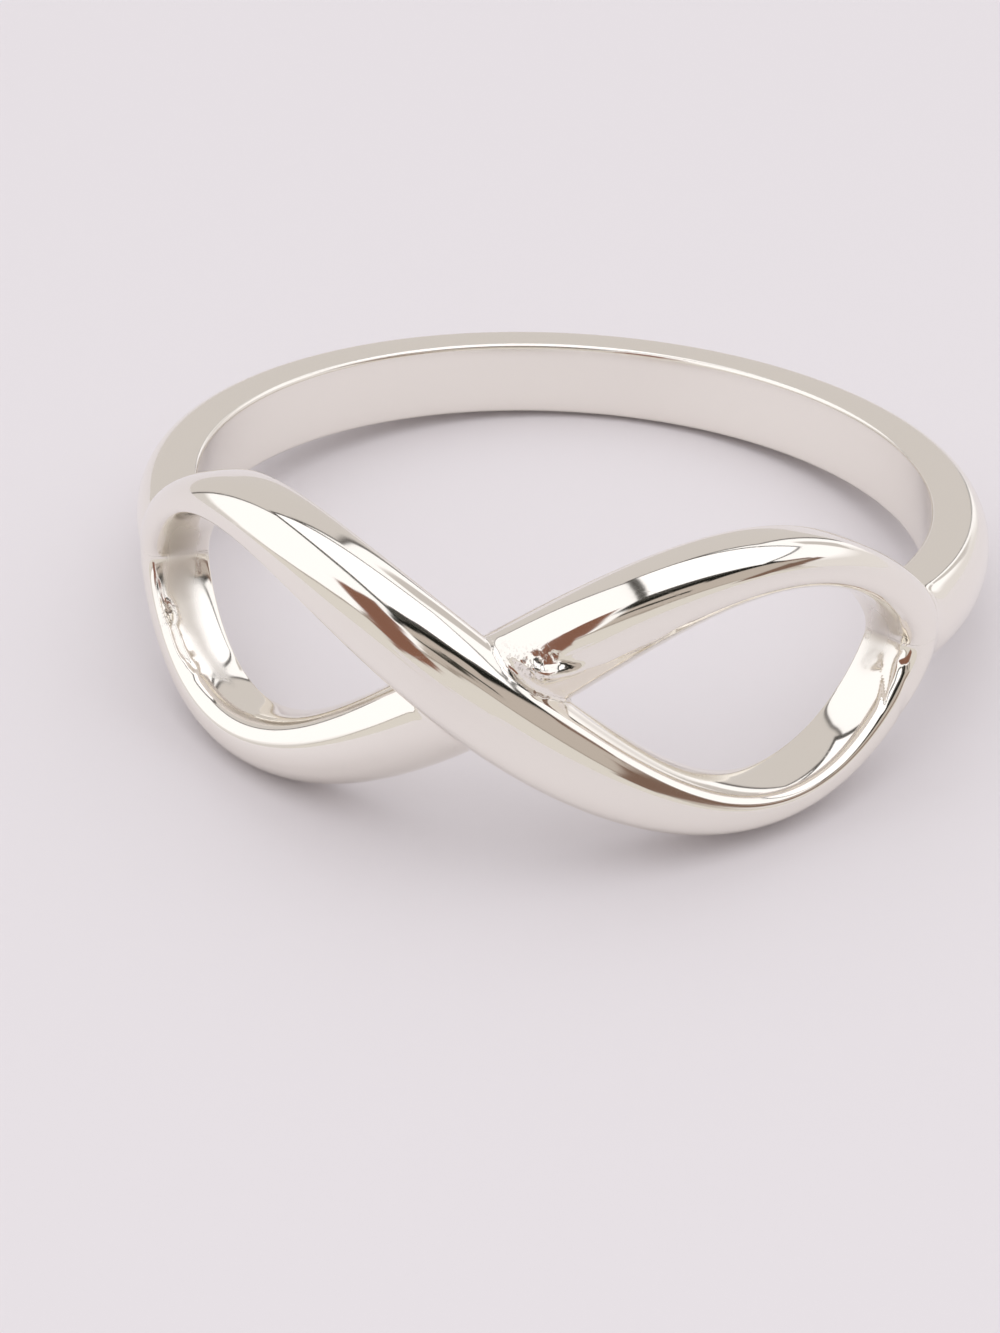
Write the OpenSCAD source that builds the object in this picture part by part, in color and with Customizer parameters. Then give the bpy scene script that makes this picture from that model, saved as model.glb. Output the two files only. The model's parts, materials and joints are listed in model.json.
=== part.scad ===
// Infinity ring, lying on its side as it rests by itself.
// Millimetres, +Z up. The infinity sign faces -Y, the plain band is at +Y.
// The origin is on the resting surface, under the middle of the ring's bounding box.
//
// Places on the ring are given in its own upright frame before it is tilted to rest:
// an angle round the finger, 0 at the middle of the infinity sign, a height along the
// finger, 0 in the middle of the band, and a radius from the finger's axis.

/* [Finger] */
// Inside diameter of the ring
finger_d = 17.3; // [14:0.1:22]

/* [Band] */
// Width of the band along the finger
band_w = 1.9; // [1.4:0.1:3]
// Thickness of the band from the finger to its crown
band_t = 1.42; // [1:0.02:2.4]
// Radius that eases the band's two inner edges
band_ease = 0.13; // [0.05:0.01:0.3]

/* [Infinity sign] */
// Length round the finger between the middles of the two loop ends
sign_len = 20.8; // [17:0.2:24]
// Height between the upper and the lower centre line of a loop
loop_h = 5.62; // [4.4:0.02:7]
// How far the widest place of a loop lies towards the crossing
loop_fullness = 0.22; // [0:0.01:0.3]

/* [Strands] */
// Width of the over strand at the crossing
over_w = 1.95; // [1.4:0.05:2.6]
// Height of the over strand's crest above the finger at the crossing
over_t = 2.2; // [1.8:0.02:3]
// Clearance under the over strand's inner face at the crossing, filled by the under strand
over_lift = 0.6; // [0.2:0.05:1]
// Width of the under strand at the crossing
under_w = 2.1; // [1.4:0.05:2.6]
// Height of the under strand's crest above the finger at the crossing
under_t = 1.64; // [1.3:0.02:2.1]
// Width of both strands where they turn round at the loop ends
end_w = 1.1; // [0.8:0.05:1.5]
// Height of both strands above the finger at the loop ends
end_t = 1.5; // [1.1:0.05:2]

/* [Hidden] */

finger_r = finger_d / 2;
// What lies inside the finger cylinder until the finger hole is cut
sink = 0.3;
// How far the band's two ends reach into the metal of the loop ends
tuck_deg = 1;

// Radius at which lengths round the finger are measured
mid_r = finger_r + end_t / 2;
half_span = sign_len / 2 / mid_r * 180 / PI;

// Widths along each strand: place, as a share of the half span from the crossing squared,
// then the width there
over_widths = [[0, over_w], [0.16, 0.68 * over_w], [0.56, 0.45 * over_w], [1, end_w]];
under_widths = [[0, under_w], [0.16, 0.76 * under_w], [0.56, 0.49 * under_w], [1, end_w]];
// Crest heights along each strand: place, then the height above the finger
over_crests = [[0, over_t], [0.49, 0.735 * over_t], [1, end_t]];
under_crests = [[0, under_t], [0.49, 0.915 * under_t], [1, end_t]];

// Cross-section of a strand: the share of its half width that is flat underneath, and the
// share of its height that its sides take up at the crossing and at the loop ends
base_share = 0.6;
over_wall = 0.38;
under_wall = 0.53;
wall_end = 0.75;
// How full its dome is: 2 is an ellipse, more is squarer
over_dome = 2.8;
under_dome = 1.8;
end_dome = 2.75;
// How far the dome's crest leans, as a share of the half width: to the upper side at the
// crossing, then to the inner side of the loops between the crossing and the loop ends
over_lean = -0.26;
under_lean = -0.09;
over_lean_in = 0.67;
under_lean_in = 0.08;
end_lean = 0.19;
lower_angles = [0, 30, 60];
dome_angles = [for (a = [0:20:180]) a];

// The band's cross-section: straight sides up to this share of its thickness, then a dome
band_side = 0.6;
band_arc = [for (a = [-90:10:90]) a];
ease_arc = [for (a = [30:30:90]) a];

// Sections along each strand, an odd number so that none lies exactly at the crossing
steps = 61;
// Points of a strand are rounded to this
grid = 0.0001;
// Facets of the finger hole and of the whole band's turn
round_fn = 180;

// Smooth curve through rows of [place, value]
function through(rows, c) =
    let (last = len(rows) - 1)
    add([for (i = [0:last]) rows[i][1] * weight(rows, i, c)]);
function weight(rows, i, c) =
    product([for (j = [0:len(rows) - 1]) if (j != i) (c - rows[j][0]) / (rows[i][0] - rows[j][0])]);
function add(list, i = 0) = i < len(list) ? list[i] + add(list, i + 1) : 0;
function product(list, i = 0) = i < len(list) ? list[i] * product(list, i + 1) : 1;

// The infinity sign, unrolled: 0 and 180 are the right and left loop ends,
// 90 and 270 the crossing. The under strand is the first half, the over strand the second.
function wave(s) = sin(2 * s) - loop_fullness * sin(4 * s);
wave_peak = max([for (s = [30:0.5:80]) wave(s)]);
function path_angle(s) = half_span * cos(s);
function path_height(s) = loop_h / 2 * wave(s) / wave_peak;

// Direction across the strand in the unrolled surface, from a small step along the path
function across(s) =
    let (
        d = 0.5,
        run = (path_angle(s + d) - path_angle(s - d)) * PI / 180 * mid_r,
        rise = path_height(s + d) - path_height(s - d),
        long = sqrt(run * run + rise * rise)
    )
    [-rise / long, run / long];

function width(s) = through(s < 180 ? under_widths : over_widths, pow(cos(s), 2));
function crest(s) = finger_r + through(s < 180 ? under_crests : over_crests, pow(cos(s), 2));
function foot(s) = finger_r - sink + (s > 180 ? (over_lift + sink) * pow(sin(s), 4) : 0);
// From one value to another by a share
function mixed(from, to, share) = from + (to - from) * share;
function wall(s) = mixed(s < 180 ? under_wall : over_wall, wall_end, pow(cos(s), 6));
function dome(s) = mixed(s < 180 ? under_dome : over_dome, end_dome, pow(cos(s), 2));
function lean(s) =
    (s < 180 ? under_lean : over_lean) * pow(sin(s), 2)
    + cos(s) * mixed(s < 180 ? under_lean_in : over_lean_in, end_lean, pow(cos(s), 2));

// A sine or cosine made fuller or slimmer, and a share across the dome pushed towards a side
function rounded(x, fullness) = sign(x) * pow(abs(x), 2 / fullness);
function leaning(x, c) = (x + c) / (1 + c * x);

// Outline of the cross-section at s: [share of the half width, share of the height]
function outline(s) = concat(
    [for (a = lower_angles) [base_share + (1 - base_share) * sin(a), wall(s) * (1 - cos(a))]],
    [for (a = dome_angles)
        [leaning(rounded(cos(a), dome(s)), lean(s)), mixed(wall(s), 1, rounded(sin(a), dome(s)))]],
    [for (i = [len(lower_angles) - 1:-1:0])
        let (a = lower_angles[i])
        [-base_share - (1 - base_share) * sin(a), wall(s) * (1 - cos(a))]]
);

// A place on the upright ring from an angle, a height and a radius, kept to a fine grid so
// that the two strands' end faces match to the last digit
function on_ring(angle, height, radius) =
    [for (x = [radius * sin(angle), -radius * cos(angle), height]) round(x / grid) * grid];

function strand_section(s) =
    let (side = across(s), half = width(s) / 2, low = foot(s), tall = crest(s) - foot(s))
    [for (p = outline(s))
        on_ring(
            path_angle(s) + p[0] * half * side[0] / mid_r * 180 / PI,
            path_height(s) + p[0] * half * side[1],
            low + p[1] * tall
        )];

function strand_points(from, to) =
    [for (i = [0:steps]) each strand_section(from + (to - from) * i / steps)];

// Band cross-section as [radius, height], reaching inside the finger until the hole is cut
band_half = [
    [finger_r - sink, band_w / 2 - band_ease - sink],
    for (a = ease_arc)
        [finger_r + band_ease * (1 - cos(a)), band_w / 2 - band_ease * (1 - sin(a))],
    for (a = band_arc)
        if (a < 0)
            [finger_r + band_t * (band_side + (1 - band_side) * cos(a)), -band_w / 2 * sin(a)]
];
band_profile = concat(
    band_half,
    [[finger_r + band_t, 0]],
    [for (i = [len(band_half) - 1:-1:0]) [band_half[i][0], -band_half[i][1]]]
);

// Resting tilt: the ring leans back until the loops and the back of the band are level.
// Height of the lowest point of the head and of the band at a tilt:
under_points = strand_points(0, 180);
over_points = strand_points(180, 360);
head_points = concat(under_points, over_points);
function head_low(tilt) = min([for (p = head_points) p[2] * cos(tilt) - p[1] * sin(tilt)]);
function band_low(tilt) = min([for (p = band_profile) p[1] * cos(tilt) - p[0] * sin(tilt)]);
function rest_tilt(low, high, n) =
    let (mid = (low + high) / 2)
    n == 0 ? mid
    : head_low(mid) < band_low(mid) ? rest_tilt(mid, high, n - 1)
    : rest_tilt(low, mid, n - 1);
tilt = rest_tilt(0, 40, 24);

// What brings the tilted ring over its origin and onto the surface
rest_z = -band_low(tilt);
front_y = min([for (p = head_points) p[1] * cos(tilt) + p[2] * sin(tilt)]);
back_y = max([for (p = band_profile) p[0] * cos(tilt) + p[1] * sin(tilt)]);
rest_y = -(front_y + back_y) / 2;

module strand(points) {
    n = len(points) / (steps + 1);
    sides = [
        for (i = [0:steps - 1])
            for (j = [0:n - 1])
                let (k = (j + 1) % n)
                each [
                    [i * n + j, (i + 1) * n + k, i * n + k],
                    [i * n + j, (i + 1) * n + j, (i + 1) * n + k]
                ]
    ];
    first = [for (j = [0:n - 1]) j];
    last = [for (j = [n - 1:-1:0]) steps * n + j];
    polyhedron(points = points, faces = concat(sides, [first], [last]), convexity = 6);
}

module infinity_sign() {
    strand(under_points);
    strand(over_points);
}

module band() {
    start_deg = half_span - tuck_deg;
    rotate_extrude(angle = 360 - 2 * start_deg, start = start_deg - 90, $fn = round_fn)
        polygon(band_profile);
}

module finger_hole() {
    cylinder(r = finger_r, h = 4 * loop_h, center = true, $fn = round_fn);
}

module infinity_ring() {
    color("silver")
        translate([0, rest_y, rest_z])
            rotate([-tilt, 0, 0])
                difference() {
                    union() {
                        infinity_sign();
                        band();
                    }
                    finger_hole();
                }
}

infinity_ring();
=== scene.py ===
import json
import math

import bmesh
import bpy
import numpy as np
from mathutils import Matrix, Vector


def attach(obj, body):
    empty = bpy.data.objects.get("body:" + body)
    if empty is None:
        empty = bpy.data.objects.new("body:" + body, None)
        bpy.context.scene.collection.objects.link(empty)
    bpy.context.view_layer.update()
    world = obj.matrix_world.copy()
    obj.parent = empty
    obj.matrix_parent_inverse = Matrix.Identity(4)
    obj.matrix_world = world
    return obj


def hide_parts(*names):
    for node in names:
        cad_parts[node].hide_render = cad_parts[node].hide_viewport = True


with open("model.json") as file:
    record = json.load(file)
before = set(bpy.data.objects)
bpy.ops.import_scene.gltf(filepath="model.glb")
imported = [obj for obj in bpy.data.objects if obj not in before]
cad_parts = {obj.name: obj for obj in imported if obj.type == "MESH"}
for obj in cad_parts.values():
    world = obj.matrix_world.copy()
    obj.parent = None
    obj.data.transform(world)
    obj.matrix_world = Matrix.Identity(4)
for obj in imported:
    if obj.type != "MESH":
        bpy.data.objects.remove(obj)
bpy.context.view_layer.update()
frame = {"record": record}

bl_info = {
    "name": "Infinity Ring",
    "version": (1, 0, 0),
    "blender": (4, 5, 0),
    "location": "3D Viewport > Sidebar > Ring",
    "description": "A polished silver ring whose front is an infinity sign",
    "category": "Add Mesh",
}

MM = 0.001
NODE = "infinity_ring"
PIECE = "infinity_ring_body"
FINGER = frame["record"]["mounts"][0]
# Attributes kept with the ring's points: how far along, across and behind the sign each one
# lies, which of the fused forms it came from, and how rough and how satin its skin is
PLACE = "strand_place"
PART = "fused_part"
CASTING = "casting"
SATIN_SKIN = "satin"


# Shape of the ring, worked out in its own upright frame in millimetres: an angle round the
# finger, 0 in front, a height along the finger, 0 in the band's middle, and a radius.

# Sizes along a strand, at places from 0 at the crossing to 1 at the loop ends: its widths and
# its crests, as shares of its own at the crossing
OVER_WIDTHS = ((0, 1), (0.16, 0.68), (0.56, 0.45))
UNDER_WIDTHS = ((0, 1), (0.16, 0.76), (0.56, 0.49))
OVER_CRESTS = ((0, 1), (0.49, 0.735))
UNDER_CRESTS = ((0, 1), (0.49, 0.915))
# Points round a strand's section: on its foot, up each side and over its dome
FOOT_POINTS, SIDE_POINTS, DOME_POINTS = 9, 25, 45
# Size of the sine that draws a strand's sections together at the crossing, in radians
BUNCHED = 0.3
# The wave of the sign is highest somewhere between these turns, in degrees
PEAK_BETWEEN = (30, 80)
# Points round the band's section: flat on the finger, on each eased edge and over its crown
FLAT_POINTS, EASE_POINTS, CROWN_POINTS = 4, 6, 41
# Share of the band's width that those flat points take up, and of its thickness that its
# straight sides do
BAND_FLAT, BAND_SIDE = 0.6, 0.6
BAND_ROWS = 301
# Angle past the sign, in radians, over which the band's own polish begins
BEHIND = 0.6


def through(rows, place):
    """The smooth curve through rows of (place, value): each value times its Lagrange weight."""
    total = 0 * place
    for i, (here, value) in enumerate(rows):
        weight = value + 0 * place
        for j, (there, _) in enumerate(rows):
            if j != i:
                weight = weight * (place - there) / (here - there)
        total = total + weight
    return total


def through_shares(shares, first, last, place):
    """The smooth curve from a size at the crossing, through shares of it, to one at the ends."""
    return through([(here, share * first) for here, share in shares] + [(1, last)], place)


def smooth_step(low, high, x):
    """0 below low, 1 above high, and a smooth S between them."""
    t = np.clip((x - low) / (high - low), 0, 1)
    return t * t * (3 - 2 * t)


def mixed(first, second, share):
    """From one value to another by a share."""
    return first + (second - first) * share


def rounded(x, fullness):
    """A sine or cosine made fuller, above 2, or slimmer: its size to the power 2 / fullness."""
    return np.sign(x) * np.abs(x) ** (2 / fullness)


def wave(s, fullness):
    """Rise and fall of the sign: a sine of twice the turn, less a share of a sine of four times."""
    return np.sin(2 * s) - fullness * np.sin(4 * s)


class Sign:
    """The unrolled infinity sign: its centre line and the size of its strand at each turn s."""

    def __init__(self, sizes):
        self.sizes = sizes
        self.finger_r = sizes.finger_d / 2
        self.mid_r = self.finger_r + sizes.end_t / 2
        self.half_span = sizes.sign_len / 2 / self.mid_r
        turns = np.radians(np.linspace(*PEAK_BETWEEN, 501))
        self.peak = wave(turns, sizes.loop_fullness).max()

    def line(self, s):
        """Angle round the finger, a cosine of the turn, and height, the wave to the loops' size."""
        height = self.sizes.loop_h / 2 * wave(s, self.sizes.loop_fullness) / self.peak
        return self.half_span * np.cos(s), height

    def across(self, s):
        """Unit direction across the strand in the unrolled surface, from a small step along it."""
        step = math.radians(0.5)
        (a0, h0), (a1, h1) = self.line(s - step), self.line(s + step)
        run, rise = (a1 - a0) * self.mid_r, h1 - h0
        long = np.hypot(run, rise)
        return -rise / long, run / long

    def sizes_at(self, s):
        """Half width, crest radius and foot radius at the turn s."""
        sizes = self.sizes
        place, over = np.cos(s) ** 2, np.sin(s) < 0
        width = np.where(over, through_shares(OVER_WIDTHS, sizes.over_w, sizes.end_w, place),
                         through_shares(UNDER_WIDTHS, sizes.under_w, sizes.end_w, place))
        crest = np.where(over, through_shares(OVER_CRESTS, sizes.over_t, sizes.end_t, place),
                         through_shares(UNDER_CRESTS, sizes.under_t, sizes.end_t, place))
        lift = np.where(over, (sizes.over_lift + sizes.sink) * np.sin(s) ** 4, 0)
        return width / 2, self.finger_r + crest, self.finger_r - sizes.sink + lift

    def form_at(self, s):
        """Wall share, fullness of the dome and lean of its crest at the turn s."""
        sizes = self.sizes
        over, end = np.sin(s) < 0, np.cos(s) ** 2
        wall = mixed(np.where(over, sizes.over_wall, sizes.under_wall), sizes.wall_end, end ** 3)
        dome = mixed(np.where(over, sizes.over_dome, sizes.under_dome), sizes.end_dome, end)
        across = np.where(over, sizes.over_lean, sizes.under_lean) * (1 - end)
        inward = mixed(np.where(over, sizes.over_lean_in, sizes.under_lean_in), sizes.end_lean, end)
        lean = across + np.cos(s) * inward
        return wall, dome, lean


def outline(wall, dome, lean, base):
    """Points round the strand's section, as shares of the half width and of the height.

    A flat foot, a quarter of an ellipse up each side to the wall height, and over it a half
    superellipse whose crest is pushed sideways by the lean, x to (x + lean) / (1 + lean x).
    """
    one, wall, dome, lean = np.ones((len(wall), 1)), wall[:, None], dome[:, None], lean[:, None]
    flat = np.linspace(-base, base, FOOT_POINTS)[1:-1] * one
    side = np.linspace(0, math.pi / 2, SIDE_POINTS) * one
    turn = np.linspace(0, math.pi, DOME_POINTS)[1:-1] * one
    side_x, side_y = base + (1 - base) * np.sin(side), wall * (1 - np.cos(side))
    top_x = rounded(np.cos(turn), dome)
    top_x, top_y = (top_x + lean) / (1 + lean * top_x), rounded(np.sin(turn), dome)
    x = np.concatenate([flat, side_x, top_x, -side_x[:, ::-1]], 1)
    y = np.concatenate([0 * flat, side_y, mixed(wall, 1, top_y), side_y[:, ::-1]], 1)
    return x, y


def upright(angle, height, radius):
    """Place in the upright frame of an angle round the finger, a height and a radius."""
    return np.stack([radius * np.sin(angle), -radius * np.cos(angle), height], -1)


def turns_along(start, rows):
    """Turns of a strand's sections, from start to half a turn on: even steps plus a sine."""
    t = np.linspace(0, 1, rows)
    return start + math.pi * t + BUNCHED * np.sin(2 * math.pi * t)


def strand_surface(sign, s):
    """The strand's section carried along the sign: a grid of turn s by place round the section.

    Across the section the angle and height step sideways from the centre line, and the radius
    goes from the foot to the crest. Where it would go inside the finger it eases onto it, more
    softly under the crossing. Returns the places, and how far along and across each one lies.
    """
    sizes = sign.sizes
    half, crest, foot = sign.sizes_at(s)
    x, y = outline(*sign.form_at(s), sizes.base_share)
    angle, height = sign.line(s)
    side_a, side_h = sign.across(s)
    angles = angle[:, None] + x * (half * side_a)[:, None] / sign.mid_r
    heights = height[:, None] + x * (half * side_h)[:, None]
    over_finger = foot[:, None] + y * (crest - foot)[:, None] - sign.finger_r
    ease = sizes.inner_ease + np.where(np.sin(s) > 0, sizes.ridge_ease, 0) * np.sin(s) ** 4
    eased = (over_finger + np.sqrt(over_finger ** 2 + 4 * ease[:, None] ** 2)) / 2
    run, rise = np.diff(angle, prepend=angle[0]) * sign.mid_r, np.diff(height, prepend=height[0])
    along = np.cumsum(np.hypot(run, rise))[:, None] + 0 * x
    place = np.stack([along, x * half[:, None], 0 * x], -1)
    return upright(angles, heights, sign.finger_r + eased), place


def band_surface(sign, turns):
    """The band's section carried round the finger: eased inner edges, straight sides, a dome.

    Returns the places, and how far round, across and behind the sign each one lies.
    """
    sizes = sign.sizes
    half, ease = sizes.band_w / 2, sizes.band_ease
    corner = np.radians(np.linspace(0, 90, EASE_POINTS))
    crown = np.radians(np.linspace(-90, 90, CROWN_POINTS))
    edge_r, edge_h = ease * (1 - np.cos(corner)), half - ease * (1 - np.sin(corner))
    flat = np.linspace(-BAND_FLAT, BAND_FLAT, FLAT_POINTS) * half
    outer_r = sizes.band_t * mixed(BAND_SIDE, 1, np.cos(crown))
    radius = np.concatenate([0 * flat, edge_r, outer_r, edge_r[::-1]])
    height = np.concatenate([flat, edge_h, -half * np.sin(crown), -edge_h[::-1]])
    start = sign.half_span - math.radians(sizes.tuck_deg)
    angle = np.linspace(start, 2 * math.pi - start, turns)[:, None] + 0 * radius
    behind = smooth_step(0, BEHIND, math.pi - start - np.abs(angle - math.pi))
    place = np.stack([angle * sign.mid_r, height + 0 * angle, behind], -1)
    return upright(angle, height + 0 * angle, sign.finger_r + radius + 0 * angle), place


def at_rest(points):
    """Millimetres in the upright frame to metres in the part's, leaning as the finger bore."""
    axis = Vector(FINGER["axis"])
    lean = math.atan2(axis.y, axis.z)
    x, y, z = points[..., 0], points[..., 1], points[..., 2]
    turned = [x, y * math.cos(lean) + z * math.sin(lean), z * math.cos(lean) - y * math.sin(lean)]
    return np.stack(turned, -1) * MM + np.array(FINGER["pos_m"])


def grid_faces(rows, columns):
    """Quads of a grid whose columns go round and whose rows don't, with a cap at each end."""
    i, j = np.arange(rows - 1)[:, None], np.arange(columns)[None, :]
    k = (j + 1) % columns
    quads = np.stack([i * columns + j, (i + 1) * columns + j, (i + 1) * columns + k,
                      i * columns + k], -1).reshape(-1, 4).tolist()
    first, last = list(range(columns)), [(rows - 1) * columns + c for c in range(columns)]
    return quads + [first, last[::-1]]


def tube(name, points, places, number):
    """A closed mesh object from a grid of points, its faces pointing outwards.

    Its number and the places along and across the strand are kept with its points.
    """
    rows, columns = points.shape[:2]
    mesh = bpy.data.meshes.new(name)
    mesh.from_pydata(points.reshape(-1, 3), [], grid_faces(rows, columns))
    made = bmesh.new()
    made.from_mesh(mesh)
    bmesh.ops.recalc_face_normals(made, faces=made.faces)
    made.to_mesh(mesh)
    made.free()
    kept = mesh.attributes.new(PLACE, "FLOAT_VECTOR", "POINT")
    kept.data.foreach_set("vector", places.reshape(-1))
    part = mesh.attributes.new(PART, "FLOAT", "POINT")
    part.data.foreach_set("value", np.full(rows * columns, float(number)))
    thing = bpy.data.objects.new(name, mesh)
    bpy.context.scene.collection.objects.link(thing)
    return thing


def fused(name, parts):
    """One object from several closed ones that overlap, as their union."""
    whole = parts[0]
    for part in parts[1:]:
        join = whole.modifiers.new("Union", "BOOLEAN")
        join.operation, join.solver, join.object = "UNION", "MANIFOLD", part
    bpy.context.view_layer.update()
    shape = whole.evaluated_get(bpy.context.evaluated_depsgraph_get())
    mesh = bpy.data.meshes.new_from_object(shape)
    for part in parts:
        bpy.data.objects.remove(part)
    mesh.name = name
    thing = bpy.data.objects.new(name, mesh)
    bpy.context.scene.collection.objects.link(thing)
    return thing


def field_of(items, name, width, kind=np.float64):
    """One property of all of a mesh's vertices or edges as an array, a row for each."""
    values = np.empty(len(items) * width, kind)
    items.foreach_get(name, values)
    return values.reshape(-1, width)


def neighbours_mean(pairs, values):
    """Mean of the values at each vertex's neighbours: their sum by the edges over their count."""
    ends, others = pairs.ravel(), values[pairs[:, ::-1].ravel()]
    count = np.bincount(ends, minlength=len(values))
    total = [np.bincount(ends, others[:, k], len(values)) for k in range(values.shape[1])]
    return np.stack(total, 1) / count[:, None].clip(1)


# The angle from which an edge is a crease to blend, and from which it stays sharp when shaded
CREASE, SHARP = math.radians(25), math.radians(60)
# How fully a crease's weight is passed on to its neighbours
SPREAD = 1.15
# Where a region round the crossing and one at the loop ends begin and are whole, in
# millimetres aside of the ring's middle
CROSSING, LOOP_ENDS = (5, 4), (7, 7.6)
# Where the fused forms flow together: the region, the share of it that the over strand takes
# at the crossing, how many points on the blending reaches and how many rounds it has
BLENDS = (
    ("fillet at the crossing", CROSSING, 0.04, 8, 80),
    ("crease at the crossing", CROSSING, 1, 3, 8),
    ("band into the loop ends", LOOP_ENDS, 1, 10, 60),
)
# A face with less area than this, in square metres, is a sliver
SLIVER = 1e-16


def seam_blended(mesh, region, reach, rounds):
    """Round off the creases inside a region, as fused metal flows together.

    Weight is 1 at creases and spreads to neighbours reach times. Each round moves a vertex
    half its weight of the way to its neighbours' mean.
    """
    mesh.set_sharp_from_angle(angle=CREASE)
    pairs = field_of(mesh.edges, "vertices", 2, np.int32)
    crease = np.zeros(len(mesh.edges), bool)
    mesh.attributes["sharp_edge"].data.foreach_get("value", crease)
    weight = np.zeros((len(mesh.vertices), 1))
    weight[pairs[crease].ravel()] = 1
    weight *= region
    for _ in range(reach):
        weight = np.maximum(weight, SPREAD * neighbours_mean(pairs, weight)).clip(0, 1)
    weight *= region
    points = field_of(mesh.vertices, "co", 3)
    for _ in range(rounds):
        points += weight / 2 * (neighbours_mean(pairs, points) - points)
    mesh.vertices.foreach_set("co", points.ravel())
    mesh.update()


def without_slivers(mesh):
    """Take out the faces without any area that the union left over."""
    area = field_of(mesh.polygons, "area", 1)[:, 0]
    made = bmesh.new()
    made.from_mesh(mesh)
    made.faces.ensure_lookup_table()
    slivers = [made.faces[k] for k in np.flatnonzero(area < SLIVER)]
    bmesh.ops.delete(made, geom=slivers, context="FACES")
    made.to_mesh(mesh)
    made.free()


# Casting flaws. Each is a row of places, as an angle round the finger in degrees, a height and
# a radius, then how many pits or lumps are strewn along it, how far they stray from it, their
# size and how far they rise, all in millimetres, and how rough the skin is round them.
FLAWS = (
    ("pitted crossing", ((1.4, 1.25, 9.95), (4.2, 1.12, 10.2), (7.2, 0.85, 10.3)),
     60, 0.08, 0.04, -0.04, 0.05),
    ("pits at the fillet", ((3.5, 1.1, 10.2), (5.4, 0.95, 10.28), (7.6, 0.85, 10.33)),
     16, 0.06, 0.045, -0.05, 0.2),
    ("torn end of the streak", ((5.0, 1.27, 10.2), (7.0, 1.22, 10.2), (8.6, 1.28, 10.2)),
     18, 0.07, 0.045, -0.04, 0.08),
    ("uneven flank", ((7.0, 1.2, 10.2), (13, 1.6, 10.2), (19, 1.9, 10.2)),
     16, 0.16, 0.17, 0.006, 0.0),
    ("left hollow", ((-56.3, -0.94, 9.83), (-54.9, -1.21, 9.82)),
     6, 0.05, 0.06, -0.05, 0.3),
    ("left lumps", ((-54.9, -1.2, 9.8), (-52, -1.5, 9.76), (-48, -1.9, 9.75)),
     14, 0.06, 0.1, 0.03, 0.0),
    ("right blob", ((58.1, -0.6, 9.15),), 1, 0.0, 0.19, 0.08, 0.0),
    ("dimple in the blob", ((58.3, -0.55, 9.17),), 1, 0.0, 0.09, -0.06, 0.0),
    ("second blob", ((58.6, -0.36, 9.2),), 1, 0.0, 0.1, 0.05, 0.0),
)
# Sizes of the single pits and lumps, as shares of their row's size
FLAW_SHARES = (0.5, 1.3)
# How far the rough skin round a pit reaches, in sizes of the pit
ROUGH_REACH = 2.5
# Pits and lumps that overlap rise or sink together no further than this, in millimetres
FLAW_LIMIT = 0.09
# Ridges and grooves that run smoothly along a row of places. Each place also has its own size
# and rise, in millimetres.
RIDGES = (
    ("ledge", ((2.6, 1.2, 10.05, 0.12, 0.03), (4.8, 1.04, 10.25, 0.15, 0.11),
               (6.7, 0.87, 10.31, 0.16, 0.17), (8.8, 0.97, 10.33, 0.14, 0.21),
               (10.4, 1.03, 10.28, 0.12, 0.15), (12.0, 1.09, 10.25, 0.1, 0.04),
               (14.2, 1.2, 10.22, 0.08, 0.035), (17.0, 1.45, 10.2, 0.07, 0.035),
               (20.4, 1.71, 10.15, 0.06, 0.025), (25, 2.23, 10.24, 0.06, 0.0))),
    ("left hollow", ((-56.6, -0.93, 9.84, 0.06, -0.08), (-55.6, -1.07, 9.83, 0.08, -0.14),
                     (-54.6, -1.25, 9.82, 0.06, -0.08))),
    ("left crack", ((-59.6, -0.47, 9.92, 0.05, -0.09), (-58, -0.78, 9.92, 0.05, -0.12),
                    (-56.4, -1.0, 9.9, 0.05, -0.08), (-55, -1.2, 9.85, 0.06, -0.04))),
    ("left seam", ((-55, -1.2, 9.88, 0.05, -0.05), (-51, -1.65, 9.89, 0.05, -0.04),
                   (-47.7, -1.92, 9.79, 0.05, -0.03))),
    ("left tooth", ((-60, -0.18, 9.05, 0.05, 0.04), (-59.15, -0.42, 9.02, 0.04, 0.05))),
    ("right bead", ((53.1, 1.49, 10, 0.045, 0.01), (56.8, 0.92, 9.96, 0.045, 0.05),
                    (60, 0.02, 9.67, 0.045, 0.05), (59.7, -0.2, 9.67, 0.045, 0.0))),
    ("right groove", ((58.2, -0.56, 9.49, 0.035, -0.02), (57, -0.79, 9.69, 0.035, -0.03),
                      (54.9, -1.25, 9.99, 0.035, -0.02))),
    ("right hollow", ((59.2, -0.45, 9.95, 0.2, -0.04), (59.7, -0.9, 10.13, 0.25, -0.06),
                      (58.4, -1.5, 10.1, 0.2, -0.04))),
)
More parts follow.
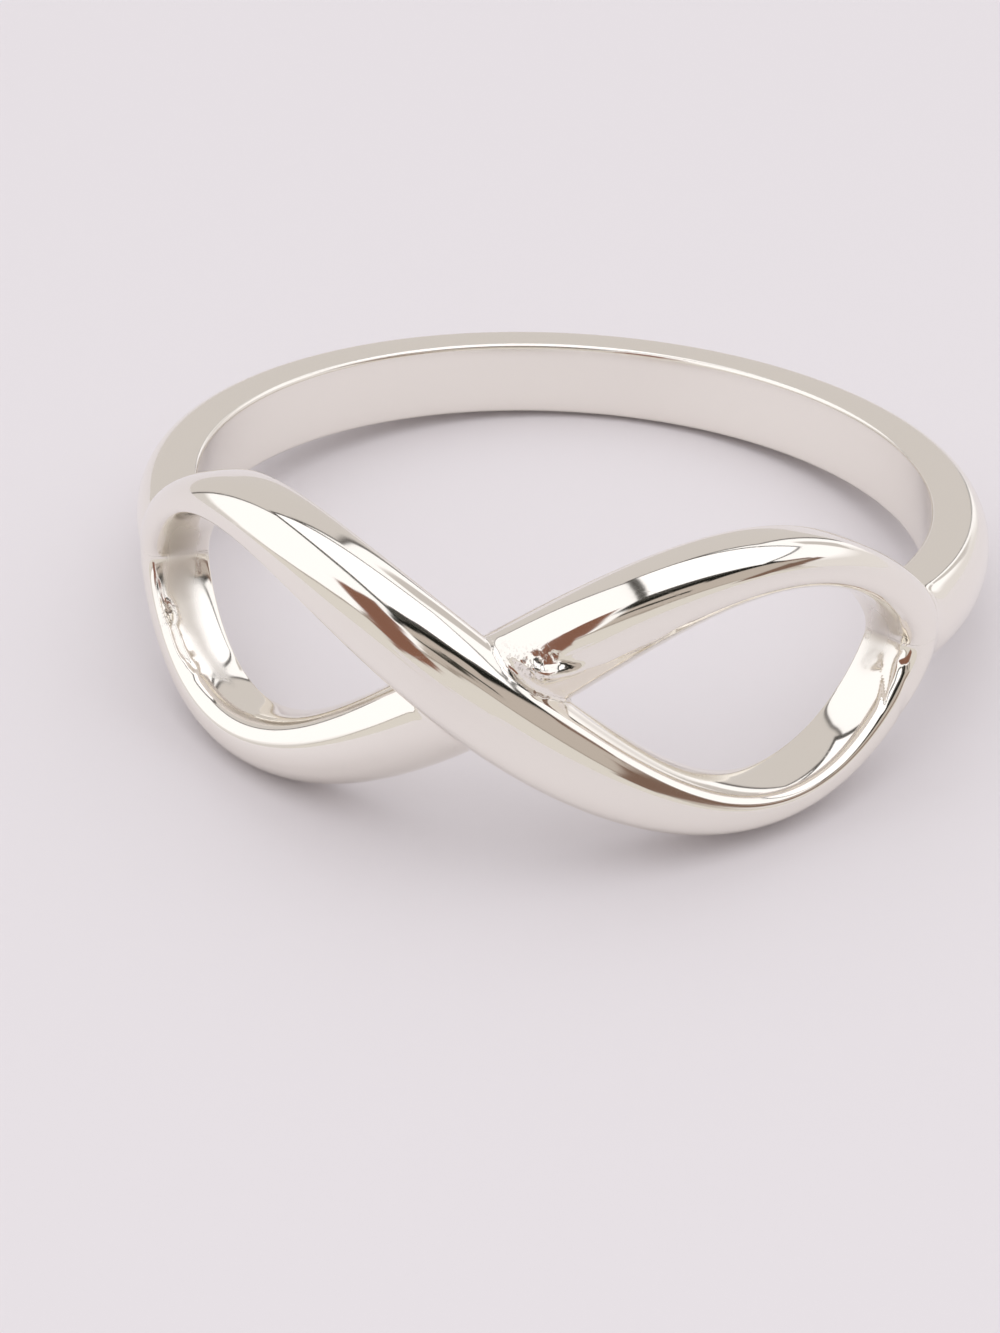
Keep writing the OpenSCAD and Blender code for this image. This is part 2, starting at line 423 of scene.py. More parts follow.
# Satin skin that polishing missed, in the same way, rougher and darkened with painted shade:
# each place has a size and an amount.
SATIN = (
    ("left loop end", ((-54.5, 1.15, 9.7, 0.3, 0.5), (-57.9, 0.6, 9.35, 0.5, 0.9),
                       (-59.8, 0, 9.3, 0.45, 1.0), (-58.2, -0.65, 9.45, 0.4, 1.0),
                       (-56.4, -0.95, 9.4, 0.3, 0.9), (-53.9, -1.25, 9.42, 0.26, 0.95),
                       (-52, -1.48, 9.36, 0.2, 0.95), (-49.9, -1.68, 9.35, 0.16, 0.9),
                       (-46.1, -1.98, 9.28, 0.13, 0.8), (-43.5, -2.1, 9.25, 0.1, 0.3))),
    ("right loop end", ((54, 1.35, 9.4, 0.3, 0.3), (57.5, 0.7, 9.2, 0.4, 0.6),
                        (59.5, 0.1, 9.1, 0.4, 0.9), (59.0, -0.38, 9.1, 0.28, 0.9),
                        (58.3, -0.6, 9.1, 0.22, 0.7))),
)


def on_ring(row):
    """Places in the upright frame of rows that begin with an angle in degrees, height, radius."""
    return upright(np.radians(row[:, 0]), row[:, 1], row[:, 2])


def nearest_along(row, points):
    """Distance in millimetres from each point to a row of places joined by straight lines.

    The row's two further values there come with it, mixed by how far along its line the
    nearest point lies.
    """
    row = np.array(row, float)
    places = at_rest(on_ring(row))
    nearest, values = np.full(len(points), np.inf), np.zeros((len(points), 2))
    for start, end, here, after in zip(places, places[1:], row[:, 3:], row[1:, 3:]):
        share = ((points - start) @ (end - start) / ((end - start) ** 2).sum()).clip(0, 1)[:, None]
        apart = np.linalg.norm(points - start - share * (end - start), axis=1) / MM
        closer = apart < nearest
        nearest[closer], values[closer] = apart[closer], mixed(here, after, share)[closer]
    return nearest, values[:, 0], values[:, 1]


def flawed(mesh, open_to):
    """Pits, lumps, ridges and grooves left by casting, as bell-shaped lifts along the normals.

    Each lift is its height times exp(-distance squared over size squared), and open_to is the
    share of it that a vertex takes. The rough skin round the pits is kept as a mask, one less
    the product of what each leaves clean, and the satin skin as another.
    """
    points, lift = field_of(mesh.vertices, "co", 3), 0
    clean, satin = np.ones(len(points)), np.zeros(len(points))
    for number, (_, row, count, stray, size, rise, rough) in enumerate(FLAWS):
        rng = np.random.default_rng(number)
        row = on_ring(np.array(row, float))
        t = rng.random(count) * (len(row) - 1)
        centres = np.stack([np.interp(t, np.arange(len(row)), row[:, k]) for k in range(3)], 1)
        centres = at_rest(centres + rng.normal(0, stray, (count, 3)))
        for centre, share in zip(centres, rng.uniform(*FLAW_SHARES, count)):
            apart = ((points - centre) ** 2).sum(1) / MM ** 2
            lift = lift + rise * share * np.exp(-apart / (size * share) ** 2)
            clean *= 1 - rough * np.exp(-apart / (ROUGH_REACH * size) ** 2)
    lift = FLAW_LIMIT * np.tanh(lift / FLAW_LIMIT)
    for _, row in RIDGES:
        apart, size, rise = nearest_along(row, points)
        lift = lift + rise * np.exp(-(apart / size) ** 2)
    for _, row in SATIN:
        apart, size, amount = nearest_along(row, points)
        satin = np.maximum(satin, amount * np.exp(-(apart / size) ** 2))
    normals = field_of(mesh.vertex_normals, "vector", 3)
    points += (lift * open_to)[:, None] * normals * MM
    mesh.vertices.foreach_set("co", points.ravel())
    for name, values in ((CASTING, (1 - clean) * open_to), (SATIN_SKIN, satin)):
        mesh.attributes.new(name, "FLOAT", "POINT").data.foreach_set("value", values)
    mesh.update()


class RingSizes(bpy.types.PropertyGroup):
    """Driving sizes of the ring, in millimetres."""

    finger_d: bpy.props.FloatProperty(
        name="Finger diameter", description="Inside diameter of the ring, in millimetres",
        default=2 * FINGER["dims"]["r_mm"], min=14, max=22)
    band_w: bpy.props.FloatProperty(
        name="Band width", description="Width of the band along the finger, in millimetres",
        default=1.9, min=1.4, max=3)
    band_t: bpy.props.FloatProperty(
        name="Band thickness", description="Finger to the band's crown, in millimetres",
        default=1.42, min=1, max=2.4)
    band_ease: bpy.props.FloatProperty(
        name="Band ease", description="Radius that eases the band's inner edges, in millimetres",
        default=0.13, min=0.05, max=0.3)
    sign_len: bpy.props.FloatProperty(
        name="Sign length", description="Round the finger between the loop ends, in millimetres",
        default=20.8, min=17, max=24)
    loop_h: bpy.props.FloatProperty(
        name="Loop height",
        description="Between a loop's upper and lower centre lines, in millimetres",
        default=5.62, min=4.4, max=7)
    loop_fullness: bpy.props.FloatProperty(
        name="Loop fullness", description="How far a loop's widest place lies towards the crossing",
        default=0.22, min=0, max=0.3, subtype="FACTOR")
    over_w: bpy.props.FloatProperty(
        name="Over strand width", description="Width at the crossing, in millimetres",
        default=1.95, min=1.4, max=2.6)
    over_t: bpy.props.FloatProperty(
        name="Over strand height",
        description="Crest above the finger at the crossing, in millimetres",
        default=2.2, min=1.8, max=3)
    over_lift: bpy.props.FloatProperty(
        name="Over strand lift", description="Clearance under its inner face at the crossing",
        default=0.6, min=0.2, max=1)
    under_w: bpy.props.FloatProperty(
        name="Under strand width", description="Width at the crossing, in millimetres",
        default=2.1, min=1.4, max=2.6)
    under_t: bpy.props.FloatProperty(
        name="Under strand height",
        description="Crest above the finger at the crossing, in millimetres",
        default=1.64, min=1.3, max=2.1)
    end_w: bpy.props.FloatProperty(
        name="Loop end width", description="Width where the strands turn round, in millimetres",
        default=1.1, min=0.8, max=1.5)
    end_t: bpy.props.FloatProperty(
        name="Loop end height", description="Height above the finger there, in millimetres",
        default=1.5, min=1.1, max=2)
    sink: bpy.props.FloatProperty(
        name="Sink",
        description="How deep a section's foot would reach into the finger, in millimetres",
        default=0.3, min=0.1, max=0.5)
    tuck_deg: bpy.props.FloatProperty(
        name="Tuck", description="How far the band's ends reach into the loop ends, in degrees",
        default=1, min=0.5, max=2)
    base_share: bpy.props.FloatProperty(
        name="Foot share", description="Flat part of a section's foot, as a share of its width",
        default=0.6, min=0.3, max=0.9, subtype="FACTOR")
    over_wall: bpy.props.FloatProperty(
        name="Over strand wall",
        description="Height of its widest place at the crossing, as a share",
        default=0.38, min=0.3, max=0.9)
    under_wall: bpy.props.FloatProperty(
        name="Under strand wall",
        description="Height of its widest place at the crossing, as a share",
        default=0.53, min=0.3, max=0.9)
    wall_end: bpy.props.FloatProperty(
        name="Wall at the loop ends", description="Height of the widest place there, as a share",
        default=0.75, min=0.3, max=0.9)
    over_dome: bpy.props.FloatProperty(
        name="Over strand dome", description="Fullness at the crossing, 2 for an ellipse",
        default=2.8, min=1.5, max=4)
    under_dome: bpy.props.FloatProperty(
        name="Under strand dome", description="Fullness at the crossing, 2 for an ellipse",
        default=1.8, min=1.5, max=4)
    end_dome: bpy.props.FloatProperty(
        name="Dome at the loop ends", description="Fullness there, 2 for an ellipse",
        default=2.75, min=1.5, max=4)
    over_lean: bpy.props.FloatProperty(
        name="Over strand lean", description="Lean of its crest to the upper side at the crossing",
        default=-0.26, min=-0.7, max=0.7)
    under_lean: bpy.props.FloatProperty(
        name="Under strand lean", description="Lean of its crest to the upper side at the crossing",
        default=-0.09, min=-0.7, max=0.7)
    over_lean_in: bpy.props.FloatProperty(
        name="Over strand lean in", description="Lean of its crest to the inside of the loops",
        default=0.67, min=-0.7, max=0.7)
    under_lean_in: bpy.props.FloatProperty(
        name="Under strand lean in", description="Lean of its crest to the inside of the loops",
        default=0.08, min=-0.7, max=0.7)
    end_lean: bpy.props.FloatProperty(
        name="Lean at the loop ends", description="Lean of the crest to the inside there",
        default=0.19, min=-0.7, max=0.7)
    inner_ease: bpy.props.FloatProperty(
        name="Inner ease",
        description="How softly the strands' inner edges are rounded, in millimetres",
        default=0.04, min=0.01, max=0.1)
    ridge_ease: bpy.props.FloatProperty(
        name="Ridge ease",
        description="More rounding of the under strand's inner edges at the crossing",
        default=0.18, min=0, max=0.3)
    rows: bpy.props.IntProperty(
        name="Rows", description="Sections along each strand", default=361, min=61, max=721)


def group(name, inputs, outputs):
    """An empty node group with the given kinds of sockets: its tree, inlet and outlet."""
    tree = bpy.data.node_groups.new(name, "ShaderNodeTree")
    for way, sockets in (("INPUT", inputs), ("OUTPUT", outputs)):
        for label, kind in sockets:
            tree.interface.new_socket(label, in_out=way, socket_type="NodeSocket" + kind)
    return tree, tree.nodes.new("NodeGroupInput").outputs, tree.nodes.new("NodeGroupOutput").inputs


def math_node(tree, operation, first, second=None, third=None, clamp=False):
    """One math node fed by sockets or plain numbers; its result socket."""
    node = tree.nodes.new("ShaderNodeMath")
    node.operation, node.use_clamp = operation, clamp
    for socket, value in zip(node.inputs, (first, second, third)):
        if isinstance(value, bpy.types.NodeSocket):
            tree.links.new(value, socket)
        elif value is not None:
            socket.default_value = value
    return node.outputs[0]


def noise(tree, vector, stretch, detail=2.0, turned=(0, 0, 0)):
    """Noise, 0 to 1, of a vector turned and then stretched by a factor for each axis."""
    mapping = tree.nodes.new("ShaderNodeMapping")
    mapping.inputs["Rotation"].default_value = turned
    mapping.inputs["Scale"].default_value = stretch
    tree.links.new(vector, mapping.inputs["Vector"])
    texture = tree.nodes.new("ShaderNodeTexNoise")
    texture.inputs["Scale"].default_value, texture.inputs["Detail"].default_value = 1, detail
    tree.links.new(mapping.outputs["Vector"], texture.inputs["Vector"])
    return texture.outputs[0]


def ramp(tree, value, low, high):
    """0 below low, 1 above high and a smooth step between."""
    node = tree.nodes.new("ShaderNodeMapRange")
    node.interpolation_type = "SMOOTHSTEP"
    node.inputs["From Min"].default_value, node.inputs["From Max"].default_value = low, high
    tree.links.new(value, node.inputs["Value"])
    return node.outputs[0]


# Polishing lines, stretched along and across the strand, per millimetre: waves and streaks
WAVES, STREAKS = (0.3, 6.5, 1), (0.6, 26, 1)
# Between which places along a strand, in millimetres, the waves come and go, and how much of
# them is left elsewhere
WAVES_COME, WAVES_GO, WAVES_LEFT = (7.5, 10.5), (14.5, 12.5), 0.1
# Scratches: how fine the hairlines are on each axis, per metre, and the patches that break
# them, then the two directions they run in, as turns about the axes in radians
HAIRLINE, SCRATCHED = (600, 14000, 900), (900, 900, 900)
SCRATCH_TURNS = ((0.4, 0.2, 0.7), (1.9, 0.9, 2.3))
# Casting skin, per metre: its pits, the swell under them, and the patches of tarnish
PITS, SWELL, PATCHES = (14000, 14000, 14000), (4500, 4500, 4500), (5000, 5000, 5000)
# Between which values of its noise each of these comes out
HAIRLINE_OUT, SCRATCHED_OUT = (0.72, 0.8), (0.52, 0.62)
PITS_OUT, PATCHES_OUT = (0.39, 0.47), (0.48, 0.66)
# Height of the swell beside the pits' own, how much the tarnish patches dull the skin between the
# pits, and the share of the dark brown painted into satin skin as painted shade
SWELL_SHARE, PATCH_SHARE, SATIN_SHADE_SHARE = 2.0, 0.2, 0.22
METAL = (0.935, 0.905, 0.845, 1)
# Dark brown of the tarnish patches, and of the painted shade in the pits' hollows and on satin skin
TARNISH_AND_SHADE = (0.12, 0.08, 0.06, 1)
# Roughness of the clean polish, and what each mask adds to it
POLISHED = 0.05
ROUGHER = {"streaks": 0.05, "behind": 0.1, "scratches": 0.07, "satin": 0.36, "dull_and_shade": 0.1}
# Depth of the casting skin's grain and of the polishing waves, in metres
GRAIN_DEPTH, WAVE_DEPTH = 6e-6, 9e-6


def polish_group():
    """Lines left by polishing along a strand: long waves across it and finer streaks."""
    tree, given, result = group("Polishing lines", [("Place", "Vector")],
                                [("Height", "Float"), ("Streaks", "Float")])
    waves = noise(tree, given["Place"], WAVES, 1)
    split = tree.nodes.new("ShaderNodeSeparateXYZ")
    tree.links.new(given["Place"], split.inputs[0])
    near = math_node(tree, "MULTIPLY", ramp(tree, split.outputs["X"], *WAVES_COME),
                     ramp(tree, split.outputs["X"], *WAVES_GO))
    strength = math_node(tree, "MULTIPLY_ADD", near, 1 - WAVES_LEFT, WAVES_LEFT)
    tree.links.new(math_node(tree, "MULTIPLY", waves, strength), result["Height"])
    tree.links.new(noise(tree, given["Place"], STREAKS, 3), result["Streaks"])
    return tree


def scratch_group():
    """Hairline scratches of handling, in two directions, broken into short lengths."""
    tree, given, result = group("Fine scratches", [("Position", "Vector")], [("Mask", "Float")])
    lines = None
    for turned in SCRATCH_TURNS:
        fine = ramp(tree, noise(tree, given["Position"], HAIRLINE, 0, turned), *HAIRLINE_OUT)
        part = ramp(tree, noise(tree, given["Position"], SCRATCHED, 1, turned), *SCRATCHED_OUT)
        both = math_node(tree, "MULTIPLY", fine, part)
        lines = both if lines is None else math_node(tree, "MAXIMUM", lines, both)
    tree.links.new(lines, result["Mask"])
    return tree


def casting_group():
    """Unpolished skin of the casting: its grain and tarnish patches, and painted shade that makes
    its hollows darker and browner.
    """
    tree, given, result = group(
        "Casting skin", [("Position", "Vector"), ("Amount", "Float"), ("Satin", "Float"),
                         ("Metal", "Color"), ("Tarnish and shade", "Color")],
        [("Height", "Float"), ("Dull and shade", "Float"), ("Colour", "Color")])
    pits = ramp(tree, noise(tree, given["Position"], PITS, 1), *PITS_OUT)
    swell = noise(tree, given["Position"], SWELL, 1)
    shape = math_node(tree, "MULTIPLY_ADD", swell, SWELL_SHARE, pits)
    tree.links.new(math_node(tree, "MULTIPLY", shape, given["Amount"]), result["Height"])
    patches = ramp(tree, noise(tree, given["Position"], PATCHES, 3), *PATCHES_OUT)
    # Painted shade: the pits' hollows are coloured towards the dark brown, standing in for their
    # self-shadowing
    hollow = math_node(tree, "SUBTRACT", 1, pits)
    stain_and_shade = math_node(tree, "MULTIPLY_ADD", patches, PATCH_SHARE, hollow, clamp=True)
    dull_and_shade = math_node(tree, "MULTIPLY", stain_and_shade, given["Amount"])
    tree.links.new(dull_and_shade, result["Dull and shade"])
    mix = tree.nodes.new("ShaderNodeMix")
    mix.data_type = "RGBA"
    # Painted shade: satin skin is darkened towards the dark brown, on top of the casting's own
    darker = math_node(tree, "MULTIPLY_ADD", given["Satin"], SATIN_SHADE_SHARE, dull_and_shade, clamp=True)
    tree.links.new(darker, mix.inputs["Factor"])
    tree.links.new(given["Metal"], mix.inputs[6])
    tree.links.new(given["Tarnish and shade"], mix.inputs[7])
    tree.links.new(mix.outputs[2], result["Colour"])
    return tree


def attribute(tree, name, output):
    """Socket of an attribute kept with the mesh."""
    node = tree.nodes.new("ShaderNodeAttribute")
    node.attribute_name = name
    return node.outputs[output]


def placed(tree, of):
    """A node that uses a node group."""
    node = tree.nodes.new("ShaderNodeGroup")
    node.node_tree = of
    return node


def silver():
    """Polished, plated silver: faint polishing lines and scratches, and rough casting skin, with
    painted shade in its hollows and on satin skin.
    """
    finish = bpy.data.materials.new("Polished silver")
    finish.use_nodes = True
    tree = finish.node_tree
    metal = tree.nodes["Principled BSDF"]
    metal.inputs["Metallic"].default_value = 1
    position = tree.nodes.new("ShaderNodeTexCoord").outputs["Object"]
    place = attribute(tree, PLACE, "Vector")

    groups = (polish_group(), scratch_group(), casting_group())
    lines, scratches, casting = (placed(tree, of) for of in groups)
    tree.links.new(place, lines.inputs["Place"])
    tree.links.new(position, scratches.inputs["Position"])
    tree.links.new(position, casting.inputs["Position"])
    satin = attribute(tree, SATIN_SKIN, "Fac")
    tree.links.new(attribute(tree, CASTING, "Fac"), casting.inputs["Amount"])
    tree.links.new(satin, casting.inputs["Satin"])
    casting.inputs["Metal"].default_value = METAL
    casting.inputs["Tarnish and shade"].default_value = TARNISH_AND_SHADE
    # Base colour: the metal, turned towards the dark brown by tarnish patches and by painted shade
    # in the hollows and on satin skin
    tree.links.new(casting.outputs["Colour"], metal.inputs["Base Color"])

    behind = tree.nodes.new("ShaderNodeSeparateXYZ")
    tree.links.new(place, behind.inputs[0])
    masks = {"streaks": lines.outputs["Streaks"], "behind": behind.outputs["Z"],
             "scratches": scratches.outputs["Mask"], "satin": satin,
             "dull_and_shade": casting.outputs["Dull and shade"]}
    rough = POLISHED
    for name, mask in masks.items():
        rough = math_node(tree, "MULTIPLY_ADD", mask, ROUGHER[name], rough)
    tree.links.new(rough, metal.inputs["Roughness"])

    normal = None
    for skin, depth in ((casting, GRAIN_DEPTH), (lines, WAVE_DEPTH)):
        height = skin.outputs["Height"]
        bump = tree.nodes.new("ShaderNodeBump")
        bump.inputs["Distance"].default_value = depth
        tree.links.new(height, bump.inputs["Height"])
        if normal is not None:
            tree.links.new(normal, bump.inputs["Normal"])
        normal = bump.outputs["Normal"]
    tree.links.new(normal, metal.inputs["Normal"])
    return finish


class MakeRing(bpy.types.Operator):
    """Build the ring: two strands that form the sign, and the band, fused into one body"""

    bl_idname = "infinity_ring.make_ring"
    bl_label = "Infinity Ring"

    def execute(self, context):
        sign = Sign(context.scene.ring_sizes)
        rows = sign.sizes.rows
        under, under_places = strand_surface(sign, turns_along(0, rows))
        over, over_places = strand_surface(sign, turns_along(math.pi, rows))
        under[0], under[-1] = over[-1], over[0]
        band, band_places = band_surface(sign, BAND_ROWS)
        shapes = (("under", under, under_places), ("over", over, over_places),
                  ("band", band, band_places))
        ring = fused(PIECE, [tube(name, at_rest(points), places, number)
                             for number, (name, points, places) in enumerate(shapes)])
        side = np.abs(field_of(ring.data.vertices, "co", 3)[:, :1]) / MM
        is_over = field_of(ring.data.attributes[PART].data, "value", 1).clip(0, 1)
        open_to = 1 - is_over * smooth_step(*CROSSING, side)
        for _, region, share, reach, rounds in BLENDS:
            weight = smooth_step(*region, side) * mixed(share, 1, open_to)
            seam_blended(ring.data, weight, reach, rounds)
        flawed(ring.data, open_to[:, 0])
        without_slivers(ring.data)
        ring.data.shade_smooth()
        ring.data.set_sharp_from_angle(angle=SHARP)
        ring.data.materials.clear()
        ring.data.materials.append(silver())
        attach(ring, "root")
        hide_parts(NODE)
        return {"FINISHED"}


class StudioSettings(bpy.types.PropertyGroup):
    """Camera and floor."""

    view_azimuth: bpy.props.FloatProperty(
        name="View azimuth", description="Where the camera stands, round from the front",
        default=math.radians(9.858), subtype="ANGLE", unit="ROTATION")
    view_elevation: bpy.props.FloatProperty(
        name="View elevation", description="How high the camera stands",
        default=math.radians(34.747), subtype="ANGLE", unit="ROTATION")
    view_roll: bpy.props.FloatProperty(
        name="View roll", description="How far the camera is turned about its own line of sight",
        default=math.radians(1.137), subtype="ANGLE", unit="ROTATION")
    view_distance: bpy.props.FloatProperty(
        name="View distance", description="From the finger's centre to the camera",
        default=0.08, subtype="DISTANCE", unit="LENGTH")
    view_aside: bpy.props.FloatVectorProperty(
        name="View aside", description="How far the camera stands to the right and up",
        size=2, default=(-0.001492, -0.003628), subtype="XYZ", unit="LENGTH")
    view_lens: bpy.props.FloatProperty(
        name="Lens", description="Focal length on a 36 mm sensor, in millimetres",
        default=90.92)
    floor_size: bpy.props.FloatProperty(
        name="Floor size", description="Side of the square floor", default=3,
        subtype="DISTANCE", unit="LENGTH")
    floor_colour: bpy.props.FloatVectorProperty(
        name="Floor colour", description="Pale, slightly pink floor", size=3,
        default=(0.80, 0.76, 0.785), subtype="COLOR")


# Width of the camera's sensor, in millimetres
SENSOR = 36


def towards(azimuth, elevation):
    """Unit direction of an azimuth, 0 in front and a quarter turn at the right, and elevation."""
    across = math.cos(elevation)
    return Vector((math.sin(azimuth) * across, -math.cos(azimuth) * across, math.sin(elevation)))


def camera(settings):
    """The camera at the photograph's angle, looking past the finger's centre."""
    azimuth, elevation = settings.view_azimuth, settings.view_elevation
    back = towards(azimuth, elevation)
    right = Vector((math.cos(azimuth), math.sin(azimuth), 0))
    up = back.cross(right)
    turned = Matrix((right, up, back)).transposed() @ Matrix.Rotation(settings.view_roll, 3, "Z")
    aside, above = settings.view_aside
    place = Vector(FINGER["pos_m"]) + turned @ Vector((aside, above, settings.view_distance))
    data = bpy.data.cameras.new("Camera")
    data.lens, data.sensor_width, data.clip_start = settings.view_lens, SENSOR, MM
    eye = bpy.data.objects.new("Camera", data)
    eye.matrix_world = Matrix.Translation(place) @ turned.to_4x4()
    bpy.context.scene.collection.objects.link(eye)
    bpy.context.scene.camera = eye


def floor(settings):
    """The pale floor that the ring lies on."""
    half = settings.floor_size / 2
    mesh = bpy.data.meshes.new("floor")
    mesh.from_pydata([(-half, -half, 0), (half, -half, 0), (half, half, 0), (-half, half, 0)], [],
                     [(0, 1, 2, 3)])
    paint = bpy.data.materials.new("Pale floor")
    paint.use_nodes = True
    shader = paint.node_tree.nodes["Principled BSDF"]
    shader.inputs["Base Color"].default_value = (*settings.floor_colour, 1)
    shader.inputs["Roughness"].default_value = 0.6
    mesh.materials.append(paint)
    ground = bpy.data.objects.new("floor", mesh)
    bpy.context.scene.collection.objects.link(ground)


# The light tent, seen from the ring. Each card is a four-sided patch of its sky, given by the
# azimuth, 0 in front and 90 at the right, and the elevation of its corners in degrees, the
# softness of its edge and its colour. Later cards lie over earlier ones.
CARDS = (
    ("left wall foot", ((-160, -10), (-160, 9), (-85, 9.5), (-85, -10)), 0.08, (0.70, 0.665, 0.65)),
    ("left wall front foot", ((-86, -10), (-86, 7.5), (-30, 9), (-30, -10)), 0.08,
     (0.70, 0.665, 0.65)),
    ("right wall foot", ((30, -10), (30, 12), (160, 10), (160, -10)), 0.15, (0.80, 0.76, 0.75)),
    ("back wall edge", ((169, -10), (171, 43), (-127, 57), (-121, -10)), 0.01, (0.10, 0.09, 0.085)),
    ("back wall", ((171, -10), (173, 41), (-129.5, 55), (-123, -10)), 0.03, (0.66, 0.62, 0.60)),
    ("back post", ((152, 11), (155, 33), (163, 33), (163, 11)), 0.03, (0.60, 0.56, 0.54)),
    ("front", ((-3, 6), (-3, 56), (76, 48), (78, 10)), 0.04, (0.53, 0.465, 0.42)),
    ("front right", ((70, 10), (70, 48), (86, 41.5), (101, 31)), 0.02, (0.53, 0.465, 0.42)),
    ("tent floor edge", ((-75, 5.6), (-75, -8), (80, -8), (80, 5.6)), 0.01, (0.36, 0.31, 0.27)),
    ("tent floor", ((-75, 4.9), (-75, -8), (80, -8), (80, 4.9)), 0.01, (0.74, 0.70, 0.66)),
    ("warm patch", ((-20, 7), (-37, 41), (-14, 50), (-4, 13)), 0.03, (0.24, 0.115, 0.08)),
    ("warm edge low", ((48, 10), (58, 8), (84, 20), (80, 30)), 0.03, (0.20, 0.125, 0.095)),
    ("warm edge right", ((78, 28), (82, 21), (107, 27), (105, 31)), 0.03, (0.20, 0.125, 0.095)),
    ("warm edge high", ((80, 42), (80, 38), (101, 30.5), (102, 34)), 0.02, (0.20, 0.125, 0.095)),
    ("dark flag", ((-5, 60), (-8, 41), (45, 44.5), (40, 62)), 0.03, (0.012, 0.012, 0.010)),
    ("dark flag right", ((36, 62), (36, 41.5), (87, 38.5), (82, 49)), 0.03, (0.012, 0.012, 0.010)),
    ("dark line", ((-2, 37.5), (-2, 34), (30, 30), (30, 33.5)), 0.01, (0.02, 0.02, 0.015)),
    ("ceiling seam", ((-132, 50.5), (147.5, 39), (74, 44.8), (-1.5, 48.5)), 0.01,
     (0.07, 0.065, 0.06)),
    ("ceiling", ((-134.1, 53.4), (145.9, 41.1), (74.3, 46.8), (-3.3, 56.8)), 0.01,
     (1.27, 1.25, 1.28)),
)
EDGES = ("Edge 1", "Edge 2", "Edge 3", "Edge 4")
# Colour of the tent where no card is, and of the plain light that falls on the floor
TENT_COLOUR = (1.12, 1.10, 1.12)
PLAIN_COLOUR = (1.0, 0.99, 1.0)
# Strength of the plain light level with the floor, and what straight above adds to it
OVERHEAD = (0.45, 1.1)


def card_group():
    """Mask of a four-sided patch of sky: inside each of its edges' planes, softened."""
    tree = bpy.data.node_groups.new("Card mask", "ShaderNodeTree")
    tree.interface.new_socket("Direction", in_out="INPUT", socket_type="NodeSocketVector")
    for name in EDGES:
        tree.interface.new_socket(name, in_out="INPUT", socket_type="NodeSocketVector")
    tree.interface.new_socket("Sharpness", in_out="INPUT", socket_type="NodeSocketFloat")
    tree.interface.new_socket("Mask", in_out="OUTPUT", socket_type="NodeSocketFloat")
    given, result = tree.nodes.new("NodeGroupInput"), tree.nodes.new("NodeGroupOutput")
    inside = None
    for name in EDGES:
        dot = tree.nodes.new("ShaderNodeVectorMath")
        dot.operation = "DOT_PRODUCT"
        tree.links.new(given.outputs["Direction"], dot.inputs[0])
        tree.links.new(given.outputs[name], dot.inputs[1])
        depth = dot.outputs["Value"]
        inside = depth if inside is None else math_node(tree, "MINIMUM", inside, depth)
    mask = math_node(tree, "MULTIPLY_ADD", inside, given.outputs["Sharpness"], 0.5, clamp=True)
    tree.links.new(mask, result.inputs["Mask"])
    return tree


def edge_planes(corners):
    """Inward unit normals of the planes through the ring and each edge of a patch of sky."""
    out = [towards(*map(math.radians, corner)) for corner in corners]
    middle = sum(out, Vector())
    for here, after in zip(out, out[1:] + out[:1]):
        normal = here.cross(after).normalized()
        yield normal if normal.dot(middle) > 0 else -normal


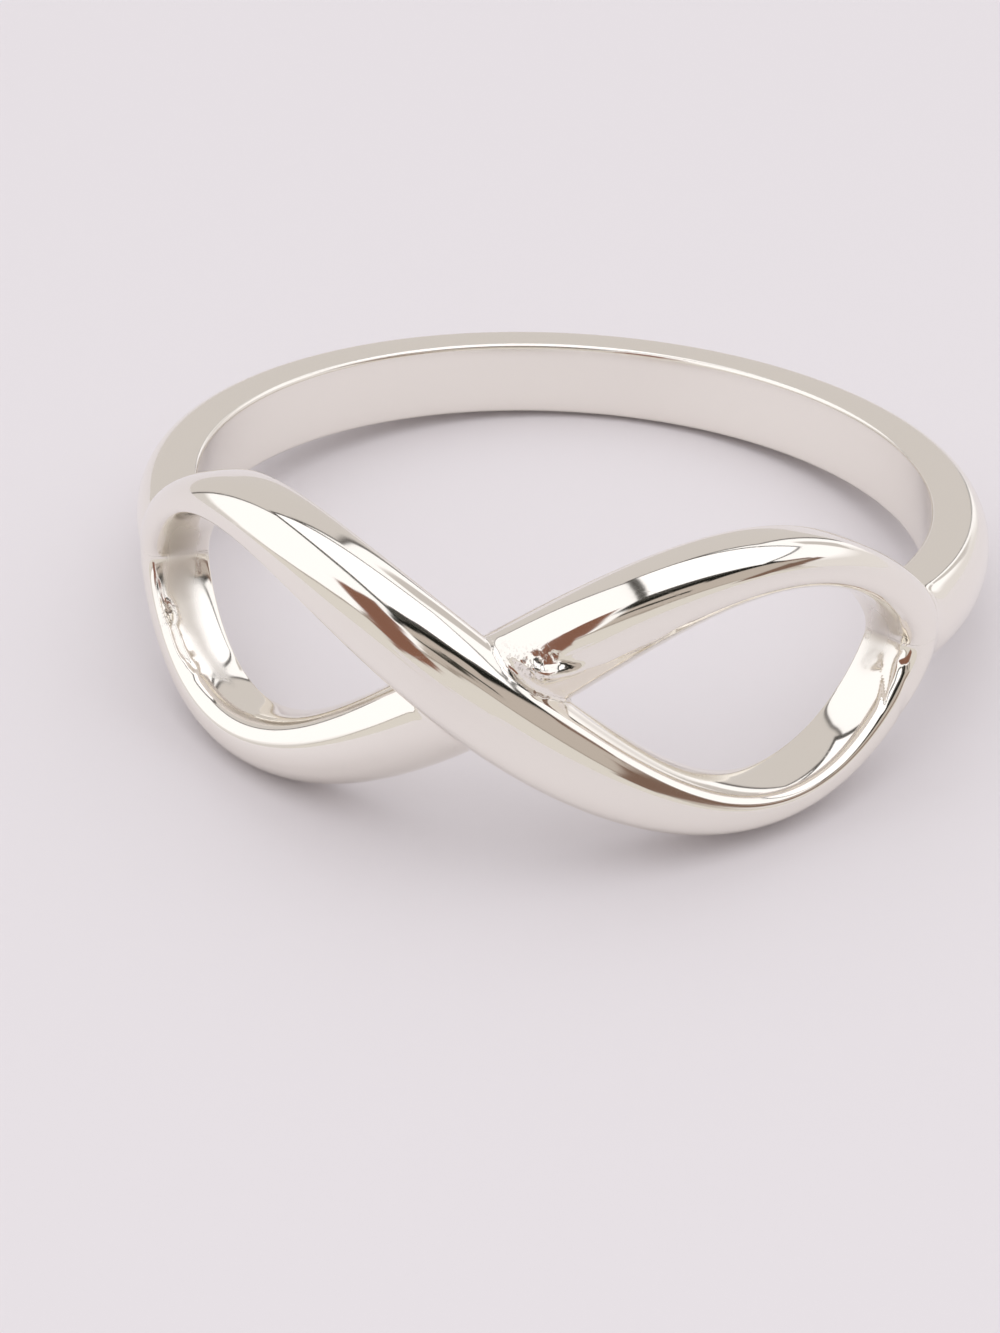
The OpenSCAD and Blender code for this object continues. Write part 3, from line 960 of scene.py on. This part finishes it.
def studio_world():
    """A white light tent by direction: its cards laid one over another on a plain colour."""
    world = bpy.data.worlds.new("Light tent")
    world.use_nodes = True
    tree = world.node_tree
    where = tree.nodes.new("ShaderNodeTexCoord").outputs["Generated"]
    mask_of, under = card_group(), None
    for name, corners, soft, colour in CARDS:
        mask = tree.nodes.new("ShaderNodeGroup")
        mask.node_tree, mask.label = mask_of, name
        tree.links.new(where, mask.inputs["Direction"])
        mask.inputs["Sharpness"].default_value = 1 / soft
        for edge, normal in zip(EDGES, edge_planes(corners)):
            mask.inputs[edge].default_value = normal
        lay = tree.nodes.new("ShaderNodeMix")
        lay.data_type, lay.label = "RGBA", name
        tree.links.new(mask.outputs["Mask"], lay.inputs["Factor"])
        if under is None:
            lay.inputs[6].default_value = (*TENT_COLOUR, 1)
        else:
            tree.links.new(under, lay.inputs[6])
        lay.inputs[7].default_value = (*colour, 1)
        under = lay.outputs[2]
    tent = tree.nodes.new("ShaderNodeBackground")
    tree.links.new(under, tent.inputs["Color"])
    plain = tree.nodes["Background"]
    plain.inputs["Color"].default_value = (*PLAIN_COLOUR, 1)
    height = tree.nodes.new("ShaderNodeSeparateXYZ")
    tree.links.new(where, height.inputs[0])
    above = math_node(tree, "POWER", height.outputs["Z"], 2)
    level, added = OVERHEAD
    strength = math_node(tree, "MULTIPLY_ADD", above, added, level)
    tree.links.new(strength, plain.inputs["Strength"])
    seen_by = tree.nodes.new("ShaderNodeLightPath")
    choose = tree.nodes.new("ShaderNodeMixShader")
    tree.links.new(seen_by.outputs["Is Glossy Ray"], choose.inputs[0])
    tree.links.new(plain.outputs[0], choose.inputs[1])
    tree.links.new(tent.outputs[0], choose.inputs[2])
    tree.links.new(choose.outputs[0], tree.nodes["World Output"].inputs["Surface"])
    world.cycles.sampling_method = "NONE"
    bpy.context.scene.world = world


class MakeStage(bpy.types.Operator):
    """Set up the camera, the pale floor and the soft light"""

    bl_idname = "infinity_ring.make_stage"
    bl_label = "Stage"

    def execute(self, context):
        settings = context.scene.ring_studio
        camera(settings)
        floor(settings)
        studio_world()
        context.scene.view_settings.view_transform = "Standard"
        return {"FINISHED"}


class RingPanel(bpy.types.Panel):
    """Lists the ring's pieces and their sizes"""

    bl_idname = "VIEW3D_PT_infinity_ring"
    bl_label = "Infinity Ring"
    bl_space_type = "VIEW_3D"
    bl_region_type = "UI"
    bl_category = "Ring"

    def draw(self, context):
        for name, settings, maker in (("Ring", context.scene.ring_sizes, MakeRing),
                                      ("Studio", context.scene.ring_studio, MakeStage)):
            box = self.layout.box()
            box.label(text=name)
            for field in settings.bl_rna.properties.keys():
                if field not in {"rna_type", "name"}:
                    box.prop(settings, field)
            box.operator(maker.bl_idname)


CLASSES = (RingSizes, StudioSettings, MakeRing, MakeStage, RingPanel)


def register():
    """Make the panel, its operators and the settings known to Blender."""
    for kind in CLASSES:
        bpy.utils.register_class(kind)
    bpy.types.Scene.ring_sizes = bpy.props.PointerProperty(type=RingSizes)
    bpy.types.Scene.ring_studio = bpy.props.PointerProperty(type=StudioSettings)


def unregister():
    """Take them away again."""
    del bpy.types.Scene.ring_studio
    del bpy.types.Scene.ring_sizes
    for kind in reversed(CLASSES):
        bpy.utils.unregister_class(kind)


def main():
    """Build the ring and its stage."""
    register()
    bpy.ops.infinity_ring.make_ring()
    bpy.ops.infinity_ring.make_stage()


if __name__ == "__main__":
    main()
